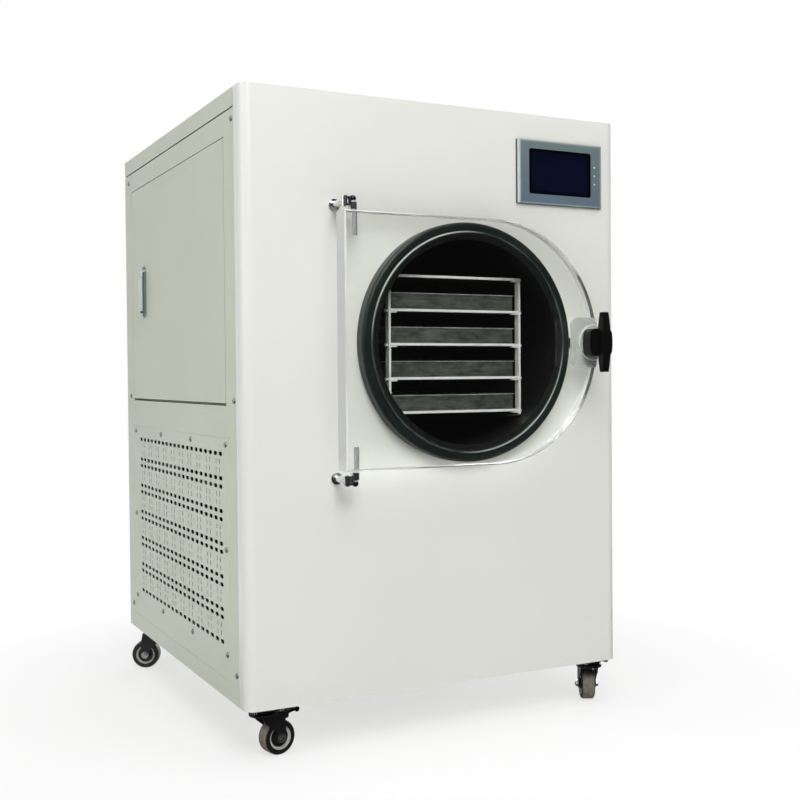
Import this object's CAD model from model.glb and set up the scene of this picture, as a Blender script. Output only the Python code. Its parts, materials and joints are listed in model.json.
# Looks of the cabinet freeze dryer: materials, small fittings, studio light and camera.
# Metres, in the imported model's own frame: floor at z = 0, the chamber door faces -Y.
import json
import math
import bmesh
import bpy
from mathutils import Matrix, Vector


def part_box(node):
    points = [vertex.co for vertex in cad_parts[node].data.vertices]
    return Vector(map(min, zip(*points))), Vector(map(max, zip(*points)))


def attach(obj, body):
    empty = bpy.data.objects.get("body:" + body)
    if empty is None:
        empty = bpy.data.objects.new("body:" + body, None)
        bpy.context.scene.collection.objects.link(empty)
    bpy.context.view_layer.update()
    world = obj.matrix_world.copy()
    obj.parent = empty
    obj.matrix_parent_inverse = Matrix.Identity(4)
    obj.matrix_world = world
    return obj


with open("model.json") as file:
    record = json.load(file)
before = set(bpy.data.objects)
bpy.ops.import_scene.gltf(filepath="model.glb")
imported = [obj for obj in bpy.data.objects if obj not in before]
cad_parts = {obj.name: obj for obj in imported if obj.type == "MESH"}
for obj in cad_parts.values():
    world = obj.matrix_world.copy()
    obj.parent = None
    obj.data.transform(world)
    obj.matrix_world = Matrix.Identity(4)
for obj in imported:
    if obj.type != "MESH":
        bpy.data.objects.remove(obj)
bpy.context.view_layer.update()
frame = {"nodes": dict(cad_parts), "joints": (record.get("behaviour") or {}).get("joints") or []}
nodes = frame["nodes"]
scene = bpy.context.scene

MM = 0.001
CORNERS = ("front_left", "front_right", "rear_left", "rear_right")
# The cabinet's own frame, in millimetres: x from its middle plane, y from the front face, z from the underside
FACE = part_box("front_panel")[0][1]
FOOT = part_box("front_panel")[0][2]
CHAMBER_X, CHAMBER_Z = 35, 668
LOCK_Y = 684


def at(x, y, z):
    """A place in the cabinet's own frame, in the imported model's metres."""
    return Vector((x * MM, FACE + y * MM, FOOT + z * MM))


# ---------------------------------------------------------------- node helpers
class Graph:
    """A material's node tree with short calls for the nodes used here."""

    def __init__(self, name):
        self.mat = bpy.data.materials.new(name)
        self.mat.use_nodes = True
        self.t = self.mat.node_tree
        self.t.nodes.clear()
        self.out = self.t.nodes.new("ShaderNodeOutputMaterial")
        self.bsdf = self.t.nodes.new("ShaderNodeBsdfPrincipled")
        self.t.links.new(self.bsdf.outputs[0], self.out.inputs[0])
        coords = self.t.nodes.new("ShaderNodeTexCoord").outputs
        self.coord, self.normal = coords["Object"], coords["Normal"]

    def node(self, kind, **values):
        n = self.t.nodes.new(kind)
        for key, value in values.items():
            self.plug(value, n.inputs[key])
        return n

    def plug(self, value, socket):
        if isinstance(value, bpy.types.NodeSocket):
            self.t.links.new(value, socket)
        else:
            socket.default_value = value

    def stretched(self, scale):
        m = self.t.nodes.new("ShaderNodeMapping")
        self.plug(self.coord, m.inputs["Vector"])
        m.inputs["Scale"].default_value = scale
        return m.outputs[0]

    def noise(self, scale, detail=2.0, vector=None, rough=0.5):
        n = self.t.nodes.new("ShaderNodeTexNoise")
        self.plug(vector if vector is not None else self.coord, n.inputs["Vector"])
        n.inputs["Scale"].default_value = scale
        n.inputs["Detail"].default_value = detail
        n.inputs["Roughness"].default_value = rough
        return n.outputs["Fac"]

    def span(self, value, low, high, a=0.3, b=0.7):
        m = self.t.nodes.new("ShaderNodeMapRange")
        for key, v in (("Value", value), ("From Min", a), ("From Max", b), ("To Min", low), ("To Max", high)):
            self.plug(v, m.inputs[key])
        return m.outputs[0]

    def mix(self, factor, a, b):
        m = self.t.nodes.new("ShaderNodeMix")
        m.data_type = "RGBA"
        self.plug(factor, m.inputs[0])
        self.plug(a, m.inputs[6])
        self.plug(b, m.inputs[7])
        return m.outputs[2]

    def math(self, op, a, b=0.0):
        m = self.t.nodes.new("ShaderNodeMath")
        m.operation = op
        self.plug(a, m.inputs[0])
        self.plug(b, m.inputs[1])
        return m.outputs[0]

    def times(self, a, b):
        return self.math("MULTIPLY", a, b)

    def most(self, first, *others):
        for other in others:
            first = self.math("MAXIMUM", first, other)
        return first

    def off(self, value, middle):
        """How far a value is from a middle one, on either side."""
        return self.math("ABSOLUTE", self.math("SUBTRACT", value, middle))

    def split(self, vector):
        return self.node("ShaderNodeSeparateXYZ", Vector=vector).outputs

    def place(self):
        """X, Y and Z of the surface point, at rest."""
        return self.split(self.coord)

    def facing(self):
        """X, Y and Z of the direction that the surface faces, at rest."""
        return self.split(self.normal)

    def bump(self, height, strength, distance):
        b = self.t.nodes.new("ShaderNodeBump")
        b.inputs["Strength"].default_value = strength
        b.inputs["Distance"].default_value = distance
        self.plug(height, b.inputs["Height"])
        return b.outputs[0]

    def set(self, **values):
        for key, value in values.items():
            self.plug(value, self.bsdf.inputs[key.replace("_", " ")])

    def distance(self, centre, axis=None):
        """Distance of a surface point from a point, or from an axis through it."""
        off = self.t.nodes.new("ShaderNodeVectorMath")
        off.operation = "SUBTRACT"
        self.plug(self.coord, off.inputs[0])
        off.inputs[1].default_value = centre
        v = off.outputs[0]
        if axis is not None:
            cross = self.t.nodes.new("ShaderNodeVectorMath")
            cross.operation = "CROSS_PRODUCT"
            self.plug(v, cross.inputs[0])
            cross.inputs[1].default_value = axis
            v = cross.outputs[0]
        length = self.t.nodes.new("ShaderNodeVectorMath")
        length.operation = "LENGTH"
        self.plug(v, length.inputs[0])
        return length.outputs["Value"]

    def lamps_pass(self):
        """Lets the lamps' light through clear plastic instead of a full shadow."""
        clear = self.t.nodes.new("ShaderNodeBsdfTransparent")
        clear.inputs[0].default_value = (0.985, 0.99, 0.985, 1)
        path = self.t.nodes.new("ShaderNodeLightPath")
        both = self.t.nodes.new("ShaderNodeMixShader")
        self.plug(path.outputs["Is Shadow Ray"], both.inputs[0])
        self.plug(self.bsdf.outputs[0], both.inputs[1])
        self.plug(clear.outputs[0], both.inputs[2])
        self.plug(both.outputs[0], self.out.inputs[0])


def srgb(r, g, b):
    """Linear colour from 0-255 display values."""
    def lin(v):
        v /= 255
        return v / 12.92 if v <= 0.04045 else ((v + 0.055) / 1.055) ** 2.4
    return (lin(r), lin(g), lin(b), 1.0)


def shade(c, k):
    """The colour k times as bright."""
    return (c[0] * k, c[1] * k, c[2] * k, 1.0)


# ---------------------------------------------------------------- materials
def painted(name, colour, rough=0.36, grain=900, depth=0.00006, coat=0.0):
    """Powder coat: orange-peel grain, cloudy gloss and a faint drift of the colour."""
    g = Graph(name)
    tint = g.mix(g.span(g.noise(2.2, 3), 0, 1), shade(colour, 0.97), shade(colour, 1.012))
    gloss = g.span(g.noise(9, 4), rough - 0.04, rough + 0.05)
    g.set(Base_Color=tint, Roughness=gloss, Normal=g.bump(g.noise(grain, 1.5), 0.16, depth))
    g.bsdf.inputs["Coat Weight"].default_value = coat
    g.bsdf.inputs["Coat Roughness"].default_value = 0.2
    return g.mat


def brushed(name, colour, along, rough=0.3):
    """Brushed metal: fine lines along one axis, with handling marks in the gloss."""
    g = Graph(name)
    lines = g.noise(1.0, 4, g.stretched([9 if axis == along else 900 for axis in "xyz"]), 0.7)
    smear = g.span(g.noise(14, 5), rough - 0.05, rough + 0.07)
    g.set(Base_Color=g.mix(g.span(lines, 0, 1), shade(colour, 0.92), shade(colour, 1.04)), Metallic=1.0,
          Roughness=g.math("ADD", smear, g.span(lines, -0.03, 0.05)), Normal=g.bump(lines, 0.25, 0.00003))
    return g.mat


def drawn(g, along):
    """Surface of satin aluminium, drawn along one axis; gives the lines back for the colour."""
    lines = g.noise(1.0, 3, g.stretched([12 if axis == along else 700 for axis in "xyz"]), 0.6)
    g.set(Roughness=g.span(lines, 0.3, 0.42), Normal=g.bump(lines, 0.15, 0.00002))
    g.bsdf.inputs["Metallic"].default_value = 0.2
    return g.span(lines, 0, 1)


def satin(name, colour, along):
    """Anodised aluminium: fine drawn lines, half metal, soft sheen."""
    g = Graph(name)
    g.set(Base_Color=g.mix(drawn(g, along), shade(colour, 0.9), colour))
    return g.mat


def rack_metal():
    """Rack and shelves: bright bare front edges, dark anodised plate faces and side frames behind them."""
    g = Graph("rack_metal")
    lines = drawn(g, "x")
    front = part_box("rack_frame")[0][1]
    upright = g.span(g.math("ABSOLUTE", g.facing()["Z"]), 1, 0, 0.4, 0.6)
    bare = g.times(upright, g.span(g.place()["Y"], 1, 0, front + 18 * MM, front + 30 * MM))
    plate = g.mix(lines, srgb(34, 35, 35), srgb(48, 50, 49))
    edge = g.mix(lines, srgb(232, 233, 231), srgb(250, 250, 248))
    g.set(Base_Color=g.mix(bare, plate, edge))
    return g.mat


def plated(name, colour=(0.78, 0.79, 0.8, 1), rough=0.12):
    """Bright plating with faint wiping marks."""
    g = Graph(name)
    wipe = g.noise(60, 5, g.stretched([1, 1, 0.2]))
    g.set(Base_Color=g.mix(g.span(wipe, 0, 1), shade(colour, 0.94), colour), Metallic=1.0,
          Roughness=g.span(wipe, rough, rough + 0.1), Normal=g.bump(g.noise(220, 2), 0.06, 0.00004))
    return g.mat


def moulded(name, colour, rough=0.4, grain=1600, strength=0.25, depth=0.00005, spec=0.5):
    """Moulded plastic or rubber: fine spark grain and soft changes of gloss."""
    g = Graph(name)
    g.set(Base_Color=g.mix(g.span(g.noise(30, 3), 0, 1), shade(colour, 0.9), shade(colour, 1.08)),
          Roughness=g.span(g.noise(45, 3), rough - 0.06, rough + 0.06),
          Normal=g.bump(g.noise(grain, 1), strength, depth))
    g.bsdf.inputs["Specular IOR Level"].default_value = spec
    return g.mat


def stained(name, light, dark):
    """Used stainless sheet: drawn streaks, dried-on stains and a rubbed bright rim at the top of each tray."""
    g = Graph(name)
    streaks = g.noise(1.0, 4, g.stretched((14, 60, 420)), 0.6)
    stains = g.noise(1.0, 5, g.stretched((26, 26, 60)), 0.7)
    tone = g.math("ADD", g.times(g.span(streaks, 0, 1), 0.35), g.times(g.span(stains, 0, 1), 0.65))
    height = g.place()["Z"]
    tops = [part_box("tray_%d" % n)[1][2] for n in (1, 2, 3, 4)]
    rim = g.most(*[g.math("LESS_THAN", g.off(height, top), 1.6 * MM) for top in tops])
    rubbed = g.times(rim, g.span(g.noise(70, 3), 0.25, 0.9))
    g.set(Base_Color=g.mix(rubbed, g.mix(tone, dark, light), shade(light, 2.6)),
          Metallic=g.span(rim, 0.75, 0.15, 0, 1), Roughness=g.span(stains, 0.34, 0.52),
          Normal=g.bump(streaks, 0.2, 0.00003))
    return g.mat


def slab_edges(g, cut, tint):
    """Colour and matt share of the door slab. Its cut edges are sawn matt at the hinge side. Those of the round
    end look deep where they are polished, and white low down where they were only ground."""
    lo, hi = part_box("door_slab")
    r = (hi[2] - lo[2]) / 2
    x, z = hi[0] - r, (lo[2] + hi[2]) / 2
    place = g.place()
    sawn = g.times(cut, g.span(place["X"], 0.75, 0.35, lo[0] + 4 * MM, lo[0] + 30 * MM))
    near = g.times(cut, g.span(place["Y"], 1, 0, lo[1] + 21 * MM, lo[1] + 26 * MM))
    deep = g.times(near, g.span(place["X"], 0, 1, x + 0.72 * r, x + 0.84 * r))
    low_end = g.times(g.span(place["Z"], 0.85, 0, z - 0.66 * r, z - 0.42 * r),
                      g.span(place["X"], 0, 1, x + 0.3 * r, x + 0.6 * r))
    ground = g.times(g.times(cut, low_end), g.span(g.noise(90, 4), 0.4, 1))
    plain = g.mix(g.span(sawn, 0, 1, 0.35, 0.75), tint, shade(tint, 0.83))
    colour = g.mix(ground, g.mix(deep, plain, srgb(14, 17, 14)), srgb(252, 253, 250))
    return colour, g.most(g.times(deep, 0.92), ground, sawn)


def acrylic(name, tint, rough, edge, clear, slab=False):
    """Clear cast acrylic with polished faces and duller cut edges."""
    g = Graph(name)
    g.lamps_pass()
    g.bsdf.inputs["IOR"].default_value = 1.49
    cut = g.math("LESS_THAN", g.math("ABSOLUTE", g.facing()["Y"]), 0.8)
    if slab:
        colour, matt = slab_edges(g, cut, tint)
    else:
        colour, matt = g.mix(g.span(g.noise(3, 2), 0, 1), tint, shade(tint, 0.99)), g.times(cut, 0.3)
    wipe = g.span(g.noise(25, 4), rough, rough + 0.012)
    g.set(Base_Color=colour, Roughness=g.math("ADD", wipe, g.times(cut, edge)),
          Transmission_Weight=g.times(clear, g.math("SUBTRACT", 1.0, matt)))
    return g.mat


def rolling(name, node):
    """Caster wheel: dark core and side walls, a pale ring and a worn grey-brown running surface."""
    joint = next(j for j in frame["joints"] if j["child"] == node)
    g = Graph(name)
    r = g.math("ADD", g.distance(joint["pos_m"], joint["axis"]), g.span(g.noise(900, 2), -0.0001, 0.0001))
    ring = g.times(g.math("GREATER_THAN", r, 18 * MM), g.math("LESS_THAN", r, 22.2 * MM))
    tread = g.math("GREATER_THAN", r, 30.9 * MM)
    core = g.mix(ring, srgb(17, 17, 18), srgb(190, 192, 188))
    dirt = g.mix(g.span(g.noise(160, 4), 0, 1), srgb(98, 94, 82), srgb(130, 126, 111))
    g.set(Base_Color=g.mix(tread, core, dirt), Roughness=g.span(g.noise(120, 3), 0.42, 0.62),
          Normal=g.bump(g.noise(700, 2), 0.3, 0.0001))
    return g.mat


def bezel_plastic():
    """Blue-grey moulded bezel: paler where its rounded rim is rubbed, dark on the upright sides and on the
    outermost edge at the right and the bottom."""
    lo, hi = [Vector(v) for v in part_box("hmi_housing")]
    middle, half = (lo + hi) / 2, (hi - lo) / 2
    g = Graph("bezel_plastic")
    place = g.place()
    rim_x = g.math("SUBTRACT", half[0], g.off(place["X"], middle[0]))
    rim_z = g.math("SUBTRACT", half[2], g.off(place["Z"], middle[2]))
    left = g.times(g.math("LESS_THAN", place["X"], middle[0]), g.span(rim_x, 0.95, 0, 3.5 * MM, 9 * MM))
    right = g.span(rim_x, 0.35, 0, 3 * MM, 6 * MM)
    ends = g.span(rim_z, 0.4, 0, 2 * MM, 5 * MM)
    rubbed = g.times(g.most(left, right, ends), g.span(g.noise(60, 3), 0.8, 1.0))
    face = g.mix(g.span(place["Z"], 0, 1, lo[2], hi[2]), srgb(94, 111, 126), srgb(106, 122, 122))
    side = g.span(g.math("ABSOLUTE", g.facing()["Y"]), 1, 0, 0.25, 0.6)
    right_edge = g.times(g.math("GREATER_THAN", place["X"], middle[0]),
                         g.span(rim_x, 0.9, 0, 1.2 * MM, 2.4 * MM))
    foot_edge = g.times(g.math("LESS_THAN", place["Z"], middle[2]),
                        g.span(rim_z, 0.9, 0, 0.6 * MM, 1.4 * MM))
    g.set(Base_Color=g.mix(g.most(side, right_edge, foot_edge), g.mix(rubbed, face, srgb(206, 216, 215)),
                           srgb(52, 56, 50)),
          Roughness=g.span(g.noise(300, 3), 0.26, 0.36), Normal=g.bump(g.noise(1200, 2), 0.12, 0.00005))
    return g.mat


def seal_rubber():
    """Dark green-black lip seal, blacker on the inner lip. Its bead is polished pale at the upper left and the
    lower right, where the slab rubs hardest."""
    lip_r, bead_r = 205 * MM, 212.2 * MM
    rub_x, rub_z = 0.643, 0.766
    g = Graph("gasket_rubber")
    centre = at(CHAMBER_X, 0, CHAMBER_Z)
    r = g.distance(centre, (0, 1, 0))
    lip = g.span(r, 1, 0, lip_r, lip_r + 3.5 * MM)
    bead = g.span(g.off(r, bead_r), 1, 0, 0.9 * MM, 2.1 * MM)
    place = g.place()
    slant = g.math("SUBTRACT", g.times(g.math("SUBTRACT", place["Z"], centre[2]), rub_z),
                   g.times(g.math("SUBTRACT", place["X"], centre[0]), rub_x))
    pressed = g.math("ADD", g.span(g.math("ABSOLUTE", slant), 0.05, 0.85, 0.14, 0.205),
                     g.span(g.noise(14, 3), -0.1, 0.1))
    body = g.mix(g.span(g.noise(40, 3), 0, 1), srgb(7, 17, 15), srgb(12, 24, 22))
    polish = g.mix(pressed, srgb(38, 46, 44), srgb(196, 203, 200))
    g.set(Base_Color=g.mix(bead, g.mix(lip, body, srgb(4, 5, 5)), polish),
          Roughness=g.span(bead, 0.36, 0.16, 0, 1), Normal=g.bump(g.noise(260, 2), 0.04, 0.00005))
    return g.mat


def screen_glass():
    """Dark panel glass: blue-black display inside a black printed border."""
    lo, hi = [Vector(v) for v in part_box("hmi_screen")]
    middle, half = (lo + hi) / 2, (hi - lo) / 2
    g = Graph("screen_glass")
    place = g.place()
    inside = 1.0
    for k, border in ((0, 7 * MM), (2, 6 * MM)):
        off = g.off(place["XYZ"[k]], middle[k])
        inside = g.times(inside, g.span(off, 1, 0, half[k] - border - 0.8 * MM, half[k] - border))
    glow = g.mix(g.span(g.noise(9, 2), 0, 1), srgb(4, 8, 24), srgb(6, 13, 34))
    g.set(Base_Color=g.mix(inside, srgb(4, 4, 7), glow), Roughness=g.span(g.noise(40, 4), 0.06, 0.13),
          Normal=g.bump(g.noise(400, 1), 0.02, 0.00002))
    return g.mat


def dress(mat, *names):
    """Gives CAD nodes their material, on the object, so that their meshes stay as packed."""
    for name in names:
        slots = nodes[name].data.materials
        if not slots:
            slots.append(mat)
        for s in nodes[name].material_slots:
            s.link = "OBJECT"
            s.material = mat


# Materials of the CAD nodes
M = {
    "paint": painted("paint_front", srgb(232, 233, 227), coat=0.8),
    "side": painted("paint_side", srgb(214, 218, 202), rough=0.42),
    "steel": brushed("steel_brushed", (0.62, 0.63, 0.64, 1), "z"),
    "tray": stained("tray_steel", srgb(134, 138, 132), srgb(46, 54, 48)),
    "shelf": rack_metal(),
    "drum": painted("drum_coating", srgb(7, 9, 8), rough=0.5, grain=500, depth=0.0001),
    "chrome": plated("plating"),
    "pin": satin("pin_ground", srgb(205, 206, 203), "z"),
    "nut": plated("nut_plating", (0.42, 0.43, 0.43, 1), 0.26),
    "lock": plated("lock_plating", (0.40, 0.46, 0.47, 1), 0.2),
    "lever": satin("lever_satin", srgb(212, 224, 219), "z"),
    "screw": plated("screw_plating", (0.33, 0.335, 0.32, 1), 0.34),
    "black": painted("black_paint", srgb(20, 21, 22), rough=0.34, grain=600),
    "foam": moulded("jacket_foam", srgb(44, 45, 45), rough=0.85, grain=500, strength=0.6, depth=0.0006),
    "copper": plated("copper_tube", (0.72, 0.40, 0.26, 1), 0.28),
    "clear": acrylic("clear_slab", (0.985, 0.995, 0.975, 1), rough=0.0, edge=0.12, clear=1.0, slab=True),
    "pad": acrylic("clear_pad", (0.90, 0.915, 0.90, 1), rough=0.05, edge=0.3, clear=0.86),
    "knob": moulded("knob_plastic", srgb(9, 9, 10), rough=0.42, spec=0.35),
    "cap": moulded("cap_plastic", srgb(9, 9, 10), rough=0.26),
    "red": moulded("red_plastic", srgb(165, 30, 26), rough=0.3),
    "brass": brushed("brass_turned", (0.66, 0.52, 0.27, 1), "y", rough=0.25),
    "box": painted("box_paint", srgb(196, 199, 195), rough=0.45),
    "screen": screen_glass(),
    "bezel": bezel_plastic(),
    "gasket": seal_rubber(),
}

dress(M["paint"], "front_panel")
dress(M["side"], "left_side_panel", "left_service_door", "left_vent_plate", "right_side_panel", "rear_panel",
      "base_tray", "top_cover")
dress(M["steel"], "vacuum_line", "feedthrough", "latch_stud", "latch_keeper")
dress(M["shelf"], "rack_shelves", "rack_frame", "rack_bolts")
dress(M["tray"], "tray_1", "tray_2", "tray_3", "tray_4")
dress(M["drum"], "vacuum_chamber")
dress(M["chrome"], "service_door_hinges", "hinge_posts", "hinge_links", "link_pins")
dress(M["pin"], "door_pins")
dress(M["lock"], "lock_body")
dress(M["lever"], "lock_lever")
dress(M["screw"], "panel_screws")
dress(M["black"], "cabinet_frame", "caster_plates", "fork_front_left", "fork_front_right", "fork_rear_left",
      "fork_rear_right", "compressor", "condenser", "fan_shroud")
dress(M["gasket"], "door_gasket")
dress(M["foam"], "insulation_jacket")
dress(M["copper"], "evaporator_coil", "refrigerant_lines", "filter_drier")
dress(M["clear"], "door_slab")
dress(M["pad"], "latch_pad")
dress(M["knob"], "latch_knob", "power_inlet", "fan_blade", "brake_pedal_left", "brake_pedal_right")
dress(M["cap"], "pin_caps")
dress(M["bezel"], "hmi_housing")
dress(M["screen"], "hmi_screen")
dress(M["red"], "power_rocker", "drain_lever")
dress(M["brass"], "drain_valve")
dress(M["box"], "control_box")
for corner in CORNERS:
    dress(rolling("wheel_look_" + corner, "wheel_" + corner), "wheel_" + corner)

# ---------------------------------------------------------------- small fittings
# Materials of the small fittings alone
D = {
    "recess": moulded("recess_shadow", srgb(22, 22, 23), rough=0.5),
    "zinc": satin("zinc_yellowed", srgb(206, 196, 168), "z"),
    "lens": moulded("lamp_lens", srgb(236, 242, 240), rough=0.15, strength=0.02),
    "seal": moulded("door_seal", srgb(40, 41, 42), rough=0.7, grain=900, strength=0.5),
}


def piece(name, bm, mat, body="cabinet", smooth=True):
    """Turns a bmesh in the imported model's frame into a piece that rides on a body."""
    bmesh.ops.recalc_face_normals(bm, faces=bm.faces)
    mesh = bpy.data.meshes.new(name)
    bm.to_mesh(mesh)
    bm.free()
    if smooth:
        mesh.shade_smooth()
        mesh.set_sharp_from_angle(angle=math.radians(35))
    mesh.materials.append(mat)
    ob = bpy.data.objects.new(name, mesh)
    scene.collection.objects.link(ob)
    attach(ob, body)
    return ob


def basis(axis):
    """Rotation that takes +Z to the axis."""
    return Vector(axis).to_track_quat("Z", "Y").to_matrix().to_4x4()


def lathe(bm, profile, place, axis, steps=32):
    """Turns (radius, height) points about the axis; the ends close on the axis where radius is 0."""
    m = Matrix.Translation(place) @ basis(axis)
    rings = []
    for r, h in profile:
        if r == 0:
            rings.append([bm.verts.new(m @ Vector((0, 0, h * MM)))])
        else:
            rings.append([bm.verts.new(m @ Vector((r * MM * math.cos(k * math.tau / steps),
                                                   r * MM * math.sin(k * math.tau / steps), h * MM)))
                          for k in range(steps)])
    for a, b in zip(rings, rings[1:]):
        for k in range(steps):
            n = (k + 1) % steps
            quad = [a[k % len(a)], a[n % len(a)], b[n % len(b)], b[k % len(b)]]
            bm.faces.new(list(dict.fromkeys(quad)))


def tube(bm, points, r, sides=10):
    """Sweeps a round section along points with parallel-carried rings and closed ends."""
    rings, side = [], None
    for i, p in enumerate(points):
        d = (points[min(i + 1, len(points) - 1)] - points[max(i - 1, 0)]).normalized()
        side = (side - side.dot(d) * d).normalized() if side else d.orthogonal().normalized()
        other = d.cross(side)
        rings.append([bm.verts.new(p + r * MM * (math.cos(k * math.tau / sides) * side
                                                + math.sin(k * math.tau / sides) * other))
                      for k in range(sides)])
    for a, b in zip(rings, rings[1:]):
        for k in range(sides):
            bm.faces.new([a[k], a[(k + 1) % sides], b[(k + 1) % sides], b[k]])
    bm.faces.new(rings[0][::-1])
    bm.faces.new(rings[-1])


def block(bm, centre, size, turn=None):
    """A box with its sizes in millimetres, turned about its centre."""
    m = Matrix.Translation(centre) @ (turn or Matrix())
    bmesh.ops.create_cube(bm, size=1, matrix=m @ Matrix.Diagonal((size[0] * MM, size[1] * MM, size[2] * MM, 1)))


def screw_crosses():
    """Cross recesses on the heads of the panel screws."""
    side_x, vent_x, rear_y = 412.5, -414, 860
    rows = (57, 561, 1074)
    vent_y, vent_z, vent_pitch, vent_reach = 437, 282, 226, 197
    columns = [vent_y + i * vent_pitch for i in (-1.5, -0.5, 0.5, 1.5)]
    heads = [((s * side_x, y, z), (s, 0, 0)) for s in (-1, 1) for y in (50, 822) for z in rows]
    heads += [((vent_x, y, vent_z + k * vent_reach), (-1, 0, 0)) for y in columns for k in (-1, 1)]
    heads += [((vent_x, y, vent_z), (-1, 0, 0)) for y in (columns[0], columns[-1])]
    heads += [((x, rear_y, z), (0, 1, 0)) for x in (-388, 388) for z in rows]
    head_top, length, width, thick = 2.99, 5.0, 1.1, 0.06
    bm = bmesh.new()
    for n, (p, axis) in enumerate(heads):
        turn = basis(axis) @ Matrix.Rotation(0.7 * n, 4, "Z")
        centre = at(*p) + Vector(axis) * head_top * MM
        block(bm, centre, (length, width, thick), turn)
        block(bm, centre, (width, length, thick), turn)
    piece("screw_crosses", bm, D["recess"], smooth=False)


def key_cylinder():
    """Key cylinder in the lock body, with the dark ring and slit of its keyway."""
    face_x, z = -420, 846
    bm = bmesh.new()
    lathe(bm, [(0, -1.2), (5.0, -1.2), (5.0, 0.3), (4.5, 0.6), (0, 0.6)], at(face_x, LOCK_Y, z), (-1, 0, 0))
    piece("key_cylinder", bm, M["chrome"], "service_door")
    bm = bmesh.new()
    block(bm, at(face_x - 0.65, LOCK_Y, z), (0.1, 0.9, 5.2))
    lathe(bm, [(0, 0), (1.7, 0), (1.7, 0.12), (0, 0.12)], at(face_x - 0.6, LOCK_Y, z), (-1, 0, 0), 16)
    piece("key_slot", bm, D["recess"], "service_door", smooth=False)


def lamp_lenses():
    """Three domed lenses at the right of the touch screen."""
    x, front_y, middle_z, pitch = 354.5, -6.9, 1015.5, 17.5
    bm = bmesh.new()
    for k in (-1, 0, 1):
        lathe(bm, [(1.75, -0.7), (1.75, 0.1), (1.3, 0.5), (0, 0.7)], at(x, front_y, middle_z + k * pitch),
              (0, -1, 0), 20)
    piece("lamp_lenses", bm, D["lens"])


def caster_fittings():
    """Plated axle nuts on the forks and zinc bolt heads on the plates."""
    fork_side = 18.5
    plate_x, plate_front_y, plate_rear_y, bolt = 367.5, 38, 776, 25.5
    joints = {j["name"]: j for j in frame["joints"]}
    for corner in CORNERS:
        roll = joints["roll_" + corner]
        axle, axis = Vector(roll["pos_m"]), Vector(roll["axis"]).normalized()
        bm = bmesh.new()
        for s in (-1, 1):
            base = axle + s * axis * fork_side * MM
            lathe(bm, [(4, 0), (8.4, 0), (8.6, 0.3), (8.4, 0.9), (4, 0.9)], base, s * axis)
            lathe(bm, [(4, 0.5), (6.9, 0.5), (6.9, 4.9), (6.2, 5.4), (4.2, 5.5), (4.0, 6.4), (0, 6.6)], base,
                  s * axis, 6)
        piece("axle_nuts_" + corner, bm, M["nut"], "fork_" + corner)
    bm = bmesh.new()
    for sx in (-1, 1):
        for y in (plate_front_y, plate_rear_y):
            for dx in (-bolt, bolt):
                for dy in (-bolt, bolt):
                    lathe(bm, [(0, -3.9), (4.2, -3.9), (4.9, -3.5), (4.9, 0), (0, 0)],
                          at(sx * plate_x + dx, y + dy, -3), (0, 0, 1), 6)
    piece("plate_bolt_heads", bm, D["zinc"])


def return_bends():
    """Half-round copper bends that join the condenser's tube rows."""
    coil_x, first_row_z, pitch, tube_r, steps = -330, 96, 50, 5, 12
    r = pitch / 2
    bm = bmesh.new()
    for end_y, rows, s in ((702, (1, 3), 1), (118, (0, 2, 4), -1)):
        for row in rows:
            z = first_row_z + pitch * row + r
            angles = [math.pi * k / steps for k in range(steps + 1)]
            tube(bm, [at(coil_x, end_y + s * r * math.sin(a), z - r * math.cos(a)) for a in angles], tube_r, 12)
    piece("return_bends", bm, M["copper"])


def service_seal():
    """Foam strip on the ledge behind the service door."""
    x, y0, y1, z0, z1 = -393.6, 101, 793, 557, 1044
    thick, wide, hinge_wide = 2, 7, 8
    middle_y, middle_z, height = (y0 + y1) / 2, (z0 + z1) / 2, z1 - z0 - wide
    bm = bmesh.new()
    block(bm, at(x, middle_y, z0), (thick, y1 - y0, wide))
    block(bm, at(x, middle_y, z1), (thick, y1 - y0, wide))
    block(bm, at(x, y0 + 8, middle_z), (thick, hinge_wide, height))
    block(bm, at(x, y1 - 2, middle_z), (thick, wide, height))
    bmesh.ops.bevel(bm, geom=bm.edges[:], offset=0.5 * MM, segments=2, affect="EDGES")
    piece("service_seal", bm, D["seal"])


screw_crosses()
key_cylinder()
lamp_lenses()
caster_fittings()
return_bends()
service_seal()

# ---------------------------------------------------------------- camera
YAW, PITCH, ROLL = math.radians(26.939), math.radians(1.223), math.radians(-0.467)
CAMERA_PLACE = (-1.08044, -2.31782, 0.69964)
forward = Vector((math.sin(YAW) * math.cos(PITCH), math.cos(YAW) * math.cos(PITCH), -math.sin(PITCH)))
level = Vector((math.cos(YAW), -math.sin(YAW), 0))
upright = level.cross(forward)
right = math.cos(ROLL) * level + math.sin(ROLL) * upright
up = math.cos(ROLL) * upright - math.sin(ROLL) * level
camera = bpy.data.objects.new("camera", bpy.data.cameras.new("camera"))
scene.collection.objects.link(camera)
camera.data.lens = 51.06
camera.data.sensor_width = 36
camera.data.clip_end = 60
turn = Matrix((right, up, -forward)).transposed().to_4x4()
camera.matrix_world = Matrix.Translation(CAMERA_PLACE) @ turn
bpy.context.scene.camera = camera

# ---------------------------------------------------------------- studio
scene.view_settings.view_transform = "Standard"
AMBIENT = 0.2
DIM_ROOM = 0.03


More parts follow.
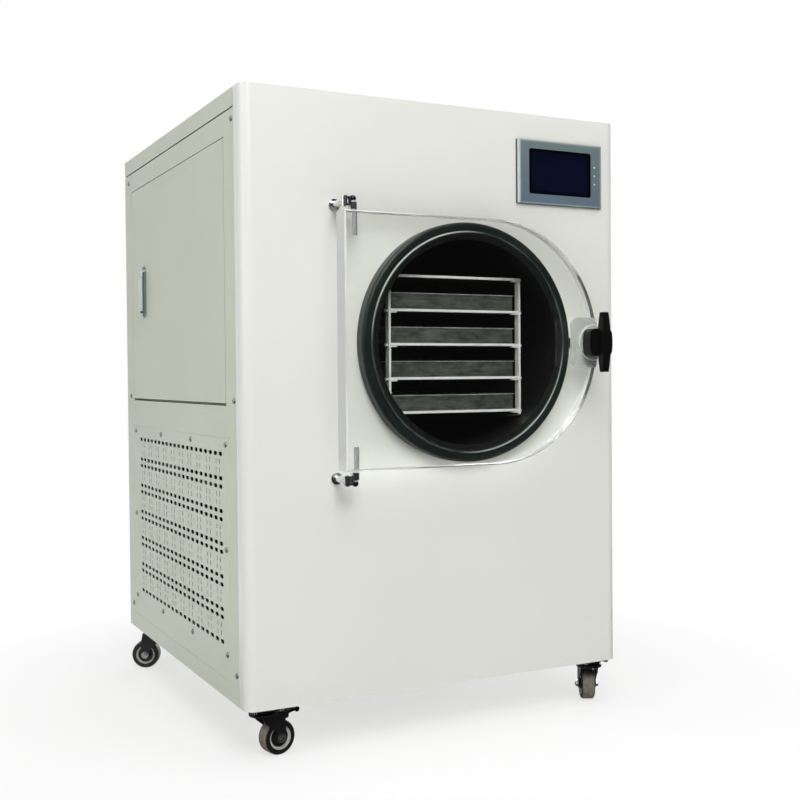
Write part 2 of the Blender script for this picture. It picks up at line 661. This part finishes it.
def studio_floor():
    """Pale disc that keeps the soft shadow and fades into the white surround; dim for shiny faces in front."""
    bm = bmesh.new()
    bmesh.ops.create_circle(bm, cap_ends=True, segments=96, radius=12)
    mesh = bpy.data.meshes.new("floor")
    bm.to_mesh(mesh)
    floor = bpy.data.objects.new("floor", mesh)
    scene.collection.objects.link(floor)
    floor.location.z = -0.5 * MM
    g = Graph("floor_white")
    g.set(Base_Color=(0.98, 0.98, 0.98, 1), Roughness=0.9)
    g.bsdf.inputs["Specular IOR Level"].default_value = 0.1
    path = g.node("ShaderNodeLightPath").outputs
    shiny = g.most(path["Is Glossy Ray"], path["Is Transmission Ray"])
    room = g.most(path["Is Camera Ray"], g.span(g.place()["Y"], DIM_ROOM, 1.0, -0.5, 0.8))
    glow = g.node("ShaderNodeEmission", Color=(1, 1, 1, 1), Strength=room)
    open_floor = g.span(g.distance((0, 0, 0)), 0.65, 1.0, 0.55, 1.1)
    fade = g.most(shiny, g.times(path["Is Camera Ray"], open_floor))
    mixer = g.node("ShaderNodeMixShader")
    g.plug(fade, mixer.inputs[0])
    g.plug(g.bsdf.outputs[0], mixer.inputs[1])
    g.plug(glow.outputs[0], mixer.inputs[2])
    g.plug(mixer.outputs[0], g.out.inputs[0])
    mesh.materials.append(g.mat)


def surround():
    """White for the camera; metal and glass see white behind the object and a dim room in front of it."""
    world = bpy.data.worlds.new("studio")
    scene.world = world
    world.use_nodes = True
    t = world.node_tree
    t.nodes.clear()

    def new(kind, *values):
        n = t.nodes.new(kind)
        for k, v in enumerate(values):
            if isinstance(v, bpy.types.NodeSocket):
                t.links.new(v, n.inputs[k])
            else:
                n.inputs[k].default_value = v
        return n

    path = new("ShaderNodeLightPath").outputs
    direction = new("ShaderNodeSeparateXYZ", new("ShaderNodeTexCoord").outputs["Generated"]).outputs
    ramp = new("ShaderNodeMapRange", direction["Y"], -0.25, 0.35, DIM_ROOM, 1.0)
    shiny = new("ShaderNodeMath", path["Is Glossy Ray"], path["Is Transmission Ray"])
    shiny.operation = "MAXIMUM"
    white = new("ShaderNodeBackground", (1, 1, 1, 1), 1.0)
    seen = new("ShaderNodeBackground", (1, 1, 1, 1), ramp.outputs[0])
    soft = new("ShaderNodeBackground", (0.97, 0.985, 1.0, 1), AMBIENT)
    first = new("ShaderNodeMixShader", shiny.outputs[0], soft.outputs[0], seen.outputs[0])
    last = new("ShaderNodeMixShader", path["Is Camera Ray"], first.outputs[0], white.outputs[0])
    new("ShaderNodeOutputWorld", last.outputs[0])


def lamp(name, place, target, size, power, colour=(1, 1, 1)):
    """Soft square lamp that looks at the target."""
    data = bpy.data.lights.new(name, "AREA")
    data.shape = "RECTANGLE"
    data.size, data.size_y = size
    data.energy = power
    data.color = colour
    ob = bpy.data.objects.new(name, data)
    scene.collection.objects.link(ob)
    ob.location = place
    ob.rotation_euler = (Vector(target) - Vector(place)).to_track_quat("-Z", "Y").to_euler()


studio_floor()
surround()
lamp("key", (-0.9, -3.4, 3.3), (0.0, 0, 0.9), (2.2, 2.0), 100, (1.0, 0.995, 0.985))
lamp("fill_left", (-4.2, -1.2, 1.8), (-0.3, 0, 0.6), (0.7, 2.4), 26, (1.0, 1.0, 0.96))
lamp("top", (-0.1, -0.9, 3.7), (0, 0, 1.0), (2.4, 2.4), 42)
lamp("back", (2.5, 3.1, 1.1), (0, 0.3, 0.7), (2.4, 1.0), 46)
